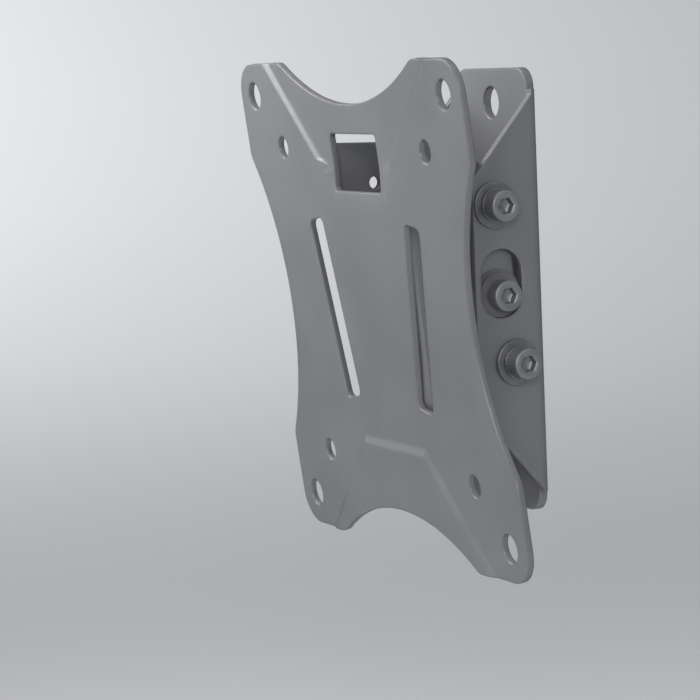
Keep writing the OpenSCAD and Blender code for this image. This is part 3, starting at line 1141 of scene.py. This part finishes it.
@dataclass
class LockNut:
    """A chamfered lock nut whose round collar grips a nylon ring.

    The collar's rim is given as (distance from the nut's end, inset from the collar's radius). The
    ring's edges are given as (distance along it, inset).
    """

    node: str
    place: Matrix
    face: float
    height: float = 5.0
    flat: float = 3.5
    face_inset: float = 0.12
    chamfer_height: float = 0.35
    collar_height: float = 1.2
    collar: float = 3.2
    collar_rim: Outline = (
        (0.55, 0.0), (0.22, 0.1), (0.05, 0.32), (0.0, 0.5), (0.04, 0.62), (0.2, 0.66)
    )
    collar_start: float = 0.05
    collar_floor: float = 0.1
    ring_sunk: float = 0.24
    ring_top: float = 0.12
    ring_outer_edge: Pair = (0.05, 0.06)
    ring_inner_edge: Pair = (0.08, 0.1)
    bore: float = 2.05
    bore_mouth: float = 0.25
    mouth_depth: float = 0.3
    gap: float = 0.01
    around: int = 96
    hard_angle: float = 35.0

    def chamfer(self, edge: float, inwards: int, shares: Sequence[float]) -> Rows:
        """The chamfer that rounds off the hexagon's corners at one of its ends.

        Args:
            edge: where the hexagon ends.
            inwards: the sign of X from there into the hexagon.
            shares: the rows, as shares of the chamfer's height.

        Returns:
            Rows for turned().
        """
        least = self.flat - self.face_inset
        most = self.flat / math.cos(math.pi / 6) + 2 * self.gap
        rise, step = most - least, inwards * self.chamfer_height
        return [(edge + step * s, hexagon(self.flat, least + rise * s)) for s in shares]

    def rows(self) -> Rows:
        """Its outline, from the bore's mouth at the flange round to the collar's mouth.

        Returns:
            Rows for turned().
        """
        end = self.face - self.height
        foot = end + self.collar_height
        full = self.chamfer_height + self.gap
        lip = self.collar - self.collar_rim[-1][1]
        return [
            (self.face - self.mouth_depth, circle(self.bore)),
            (self.face, circle(self.bore + self.bore_mouth)),
            (self.face, circle(self.flat - self.face_inset)),
            *self.chamfer(self.face, -1, (0.25, 0.5, 0.75, 1.0)),
            (self.face - full, hexagon(self.flat)),
            (foot + full, hexagon(self.flat)),
            *self.chamfer(foot, 1, (1.0, 0.75, 0.5, 0.25, 0.0)),
            (foot - self.collar_start, circle(self.collar)),
            *((end + up, circle(self.collar - inset)) for up, inset in self.collar_rim),
            (foot - self.collar_floor, circle(lip)),
            (foot - self.collar_floor, circle(self.bore)),
        ]

    def ring_rows(self) -> Rows:
        """The outline of the nylon ring in the collar.

        Returns:
            Rows for turned().
        """
        end = self.face - self.height
        outer = self.collar - self.collar_rim[-1][1] - self.gap
        low, high = end + self.ring_sunk, end + self.collar_height - self.ring_top
        outer_up, outer_in = self.ring_outer_edge
        inner_up, inner_out = self.ring_inner_edge
        return [
            (high, circle(self.bore)),
            (high, circle(outer)),
            (low + outer_up, circle(outer)),
            (low, circle(outer - outer_in)),
            (low, circle(self.bore + inner_out)),
            (low + inner_up, circle(self.bore)),
        ]

    def build(self, finishes: Finishes) -> Pieces:
        """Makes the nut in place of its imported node, and its nylon ring, and dresses both.

        Args:
            finishes: where its finishes come from.

        Yields:
            Each piece.
        """
        where = self.node.replace("_lock_nut", "").replace("_nut", "")
        for name, rows, slot, node in (
            (f"lock_nut_{where}", self.rows(), Slot.ZINC, self.node),
            (f"nylon_ring_{where}", self.ring_rows(), Slot.NYLON, ""),
        ):
            piece = make_piece(name, *turned(rows, self.around, closed=True), self.place)
            sharpen(piece, self.hard_angle)
            yield mount_piece(piece, slot, finishes, node)


@dataclass
class PivotStack:
    """What turns in one ear: the bush, its bolt and its nut."""

    tilt: Tilt
    side: Side
    seat: float = 18.9
    nut_face: float = 15.0
    bolt_end: float = 9.2
    bush_edge: float = 0.12

    def build(self, finishes: Finishes) -> Pieces:
        """Makes the bolt and nut, and dresses the bush.

        Args:
            finishes: where its finishes come from.

        Yields:
            Each piece.
        """
        place = self.tilt.stack(self.side, self.tilt.pivot_back, 0)
        where = self.side.word
        yield from Bolt(f"pivot_bolt_{where}", place, self.seat, self.bolt_end).build(finishes)
        yield from LockNut(f"pivot_nut_{where}", place, self.nut_face).build(finishes)
        yield dress_node(f"pivot_bush_{where}", self.bush_edge, Slot.NYLON, finishes)


@dataclass
class LockStack:
    """One lock bolt with its washers, spacer and nut."""

    tilt: Tilt
    side: Side
    level: str
    height: float
    behind: float = 1.2
    seat: float = 21.45
    nut_face: float = 15.0
    bolt_end: float = 9.2
    washer_edge: float = 0.25
    spring_edge: float = 0.12
    spacer_edge: float = 0.1

    def build(self, finishes: Finishes) -> Pieces:
        """Makes the bolt and nut, and dresses what lies between them.

        Args:
            finishes: where its finishes come from.

        Yields:
            Each piece.
        """
        place = self.tilt.stack(self.side, self.tilt.pivot_back + self.behind, self.height)
        bolt, nut, washer, spring, spacer = (
            f"{self.level}_{kind}_{self.side.word}"
            for kind in ("lock_bolt", "lock_nut", "washer", "spring_washer", "spacer")
        )
        yield from Bolt(bolt, place, self.seat, self.bolt_end).build(finishes)
        yield from LockNut(nut, place, self.nut_face).build(finishes)
        yield dress_node(washer, self.washer_edge, Slot.ZINC, finishes)
        yield dress_node(spring, self.spring_edge, Slot.ZINC, finishes)
        yield dress_node(spacer, self.spacer_edge, Slot.NYLON, finishes)


@dataclass(frozen=True)
class SoftBox:
    """A rectangular studio light and the point it is turned to, in metres."""

    name: str
    place: Point
    size: Pair
    power: float
    aim: Point = (0.0, -0.02, 0.0)
    spread: float = 180.0
    glossy: bool = True

    def build(self) -> None:
        """Hangs the light and turns it to its aim."""
        light = bpy.data.lights.new(self.name, "AREA")
        light.shape = "RECTANGLE"
        light.size, light.size_y = self.size
        light.energy = self.power
        light.spread = math.radians(self.spread)
        lamp = bpy.data.objects.new(self.name, light)
        bpy.context.scene.collection.objects.link(lamp)
        lamp.visible_camera = False
        lamp.visible_glossy = self.glossy
        lamp.location = self.place
        turn = (Vector(self.aim) - lamp.location).to_track_quat("-Z", "Y")
        lamp.rotation_euler = turn.to_euler()


@dataclass
class Camera:
    """The camera at the photograph's viewing angle, in metres and degrees."""

    place: Point = (0.576429, -0.313501, 0.056907)
    turn: Point = (83.857938, 2.380673, 64.459618)
    lens: float = 142.99
    sensor: float = 36.0
    clip: Pair = (0.01, 50.0)

    def build(self) -> None:
        """Sets the camera up as the scene's own."""
        data = bpy.data.cameras.new("camera")
        data.sensor_width = self.sensor
        data.lens = self.lens
        data.clip_start, data.clip_end = self.clip
        camera = bpy.data.objects.new("camera", data)
        bpy.context.scene.collection.objects.link(camera)
        camera.location = self.place
        camera.rotation_euler = tuple(math.radians(angle) for angle in self.turn)
        bpy.context.scene.camera = camera


@dataclass
class Studio:
    """Camera, lights and the pale ground round the mount."""

    floor_gap: float = 120.0
    ground_radius: float = 1200.0
    ground_rings: int = 6
    cove_radius: float = 3400.0
    cove_turn: float = 62.0
    cove_bends: int = 14
    around: int = 96
    card_place: Point = (-620.0, 160.0, 50.0)
    card_size: Pair = (640.0, 700.0)
    room_colour: Colour = (0.95, 0.97, 1.0)
    room_strength: float = 0.46
    boxes: tuple[SoftBox, ...] = (
        SoftBox("overhead", (0.1, -0.2, 2.2), (1.4, 1.4), 2.6),
        SoftBox("front", (1.06, -0.62, 0.36), (0.4, 0.4), 5.7),
        SoftBox("left_front", (-0.6, -0.9, 0.5), (0.7, 0.5), 1.4),
        SoftBox("near_left", (-0.18, -0.23, 0.19), (0.22, 0.22), 0.4),
        SoftBox("near_fill", (-0.14, -0.18, 0.17), (0.1, 0.1), 0.66, glossy=False),
        SoftBox("glow", (-1.7, -0.6, 1.9), (0.6, 0.6), 20.5, aim=(-2.6, 0.0, 0.1), spread=110.0),
    )

    def profile(self) -> list[Pair]:
        """The ground's outline as (radius, height), from the flat floor up the cove.

        Returns:
            Its points, outwards.
        """
        floor = CAD_BOX[0].z / MM - self.floor_gap
        reach, rise, turn = self.ground_radius, self.cove_radius, math.radians(self.cove_turn)
        flat = [(reach * (i + 1) / self.ground_rings, floor) for i in range(self.ground_rings)]
        bends = [turn * (i + 1) / self.cove_bends for i in range(self.cove_bends)]
        curve = [(reach + rise * math.sin(a), floor + rise * (1 - math.cos(a))) for a in bends]
        return flat + curve

    def ground(self) -> None:
        """Builds the floor and the wall it curves up into, as one round cove."""
        profile = self.profile()
        turns = [2 * math.pi * i / self.around for i in range(self.around)]
        points = [Vector((0, 0, profile[0][1]))]
        for r, z in profile:
            points += [Vector((r * math.cos(a), r * math.sin(a), z)) for a in turns]
        faces = fan(0, 1, self.around, flip=False)
        for row in range(len(profile) - 1):
            rings = strip(1 + row * self.around, 1 + (row + 1) * self.around, self.around)
            faces += [face[::-1] for face in rings]
        ground = make_piece("ground", points, faces, Matrix.Identity(4))
        ground.data.materials.append(PaleGround().material())

    def black_card(self) -> None:
        """Stands a black card at the left that shows only in reflections, on the folds."""
        wide, high = (size / 2 for size in self.card_size)
        corners = ((-wide, -high), (wide, -high), (wide, high), (-wide, high))
        points = [Vector((0.0, y, z)) + Vector(self.card_place) for y, z in corners]
        card = make_piece("flag", points, [[0, 1, 2, 3]], Matrix.Identity(4))
        card.data.materials.append(BlackCard().material())
        card.visible_camera = card.visible_diffuse = card.visible_shadow = False

    def room(self) -> None:
        """Sets the room's even light."""
        world = bpy.data.worlds.new("room")
        world.use_nodes = True
        graph = Graph(world.node_tree)
        sky = graph.add("ShaderNodeBackground")
        graph.feed(sky.inputs["Color"], self.room_colour)
        graph.feed(sky.inputs["Strength"], self.room_strength)
        output = graph.add("ShaderNodeOutputWorld")
        graph.feed(output.inputs["Surface"], sky.outputs["Background"])
        bpy.context.scene.world = world

    def build(self) -> None:
        """Sets up the whole studio."""
        Camera().build()
        self.ground()
        self.black_card()
        for box in self.boxes:
            box.build()
        self.room()
        bpy.context.scene.view_settings.view_transform = "Standard"


@dataclass
class Mount:
    """The whole mount, as its sub-assemblies in the order of assembly."""

    tilt: Tilt = Tilt()
    lock_heights: tuple[tuple[str, float], ...] = (("top", 20.7), ("bottom", -15.9))

    def build(self, finishes: Finishes) -> Pieces:
        """Builds and dresses each sub-assembly.

        Args:
            finishes: where its finishes come from.

        Yields:
            Each piece.
        """
        yield from WallPlate().build(finishes)
        yield from PressedPlate().build(finishes)
        yield from TiltBracket(self.tilt).build(finishes)
        for side in Side:
            yield from PivotStack(self.tilt, side).build(finishes)
            for level, height in self.lock_heights:
                yield from LockStack(self.tilt, side, level, height).build(finishes)


def main() -> None:
    """Builds the studio and dresses the mount, and reports each piece."""
    logging.basicConfig(level=logging.INFO, format="%(message)s")
    finishes = Finishes()
    Studio().build()
    for piece in Mount().build(finishes):
        log.info("%s is dressed in %s", piece.name, piece.data.materials[0].name)


if __name__ == "__main__":
    main()
